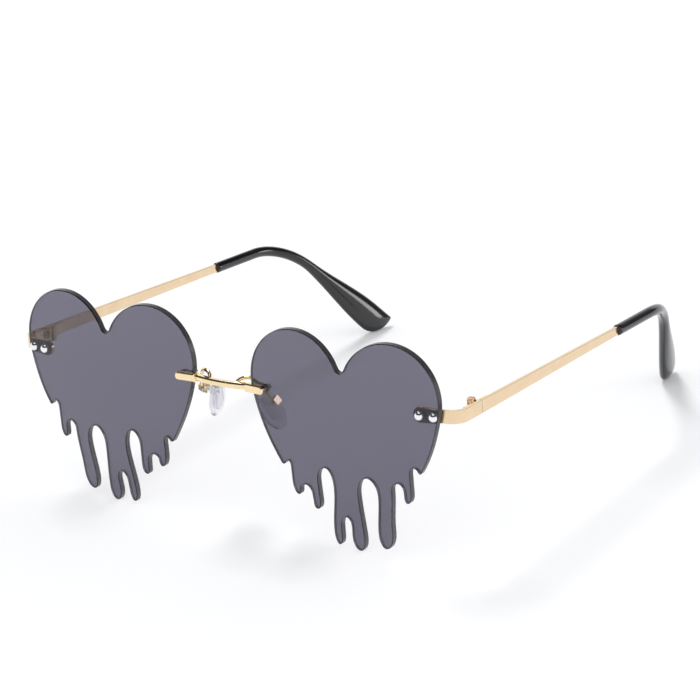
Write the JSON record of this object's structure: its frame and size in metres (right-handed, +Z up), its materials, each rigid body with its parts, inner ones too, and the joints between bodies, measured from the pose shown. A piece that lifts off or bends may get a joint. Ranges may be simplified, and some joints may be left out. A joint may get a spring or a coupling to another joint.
{
  "type": "sunglasses",
  "caption": "Rimless sunglasses with heart shaped lenses that run down in drips, a metal bridge, folding temples with bent black tips, and clear nose pads.",
  "frame": {"origin": "on the ground the sunglasses stand on, in the middle of the box round them", "axes": "+Z up, +X to the wearer's left, lenses face -Y and the temples run towards +Y"},
  "size_m": [0.1488, 0.1512, 0.06],
  "materials": {
    "lens_tint": "polished tinted sheet, see-through, with a clear polished edge",
    "gold_metal": "polished pale gold plating",
    "silver_metal": "bright polished domes",
    "steel_screw": "small turned screws and nuts",
    "pad_silicone": "clear soft silicone",
    "pad_core_plastic": "stiff insert with a lug",
    "bushing_plastic": "clear sleeves and washers",
    "black_acetate": "glossy moulded black"
  },
  "bodies": {
    "front": {"left_lens": "lens_tint", "right_lens": "lens_tint", "bridge": "gold_metal", "bridge_washers": "bushing_plastic", "bridge_nuts": "steel_screw", "left_lens_bushings": "bushing_plastic", "right_lens_bushings": "bushing_plastic", "left_end_piece": "gold_metal", "right_end_piece": "gold_metal", "left_end_rivets": "silver_metal", "right_end_rivets": "silver_metal", "left_pad_arm": "gold_metal", "right_pad_arm": "gold_metal", "left_pad_box": "gold_metal", "right_pad_box": "gold_metal", "left_pad_screw": "steel_screw", "right_pad_screw": "steel_screw", "left_hinge_front": "gold_metal", "right_hinge_front": "gold_metal", "left_hinge_screw": "steel_screw", "right_hinge_screw": "steel_screw"},
    "left_arm": {"left_hinge_rear": "gold_metal", "left_temple": "gold_metal", "left_temple_tip": "black_acetate"},
    "right_arm": {"right_hinge_rear": "gold_metal", "right_temple": "gold_metal", "right_temple_tip": "black_acetate"},
    "left_pad": {"left_pad_core": "pad_core_plastic", "left_nose_pad": "pad_silicone"},
    "right_pad": {"right_pad_core": "pad_core_plastic", "right_nose_pad": "pad_silicone"}
  },
  "joints": [
    {"name": "left_temple_fold", "type": "hinge", "parent": "front", "child": "left_arm", "pos_m": [0.07133, -0.05959, 0.04099], "axis": [0, 0.0613, 0.9981], "range_deg": [0, 86]},
    {"name": "right_temple_fold", "type": "hinge", "parent": "front", "child": "right_arm", "pos_m": [-0.07133, -0.05959, 0.04099], "axis": [0, -0.0613, -0.9981], "range_deg": [0, 78]},
    {"name": "left_pad_rock", "type": "hinge", "parent": "front", "child": "left_pad", "pos_m": [0.0121, -0.06628, 0.0359], "axis": [0, 0.9135, 0.4067], "range_deg": [-8, 8]},
    {"name": "right_pad_rock", "type": "hinge", "parent": "front", "child": "right_pad", "pos_m": [-0.0121, -0.06628, 0.0359], "axis": [0, -0.9135, -0.4067], "range_deg": [-8, 8]}
  ]
}
